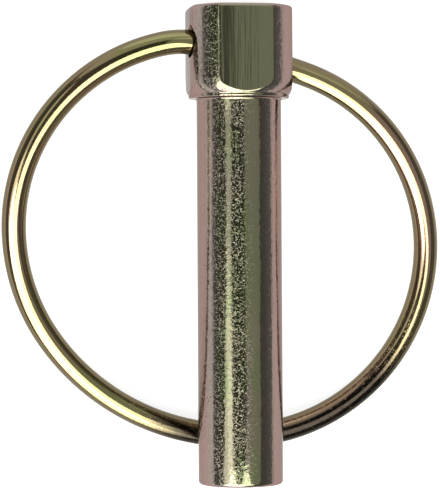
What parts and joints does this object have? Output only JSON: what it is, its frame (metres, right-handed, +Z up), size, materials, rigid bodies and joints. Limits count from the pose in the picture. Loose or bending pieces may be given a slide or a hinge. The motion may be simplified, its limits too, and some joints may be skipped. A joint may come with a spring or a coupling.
{
  "type": "lynch pin",
  "caption": "Lynch pin: short round pin with a flat-sided head and a swinging spring-wire ring that keeps it in a cross-drilled shaft.",
  "frame": {"origin": "on the surface the part lies on, below the middle of its plan outline", "axes": "+Y towards the head, along the shank as seen from above; +Z up, out of the head's front flat; +X to the side where the hole comes out nearer the seat"},
  "size_m": [0.053, 0.0566, 0.014],
  "materials": {
    "plated_steel": "yellow chromated zinc plate on a forged surface, semi-gloss",
    "plated_wire": "yellow chromated zinc plate on drawn wire, glossy"
  },
  "bodies": {
    "pin_body": {"pin": "plated_steel"},
    "ring_body": {"ring": "plated_wire"}
  },
  "joints": [
    {"name": "ring_swing", "type": "hinge", "parent": "pin_body", "child": "ring_body", "pos_m": [0.00143, 0.02249, 0.00627], "axis": [0.9363, -0.2256, -0.2691], "range_deg": [0, 340]}
  ]
}
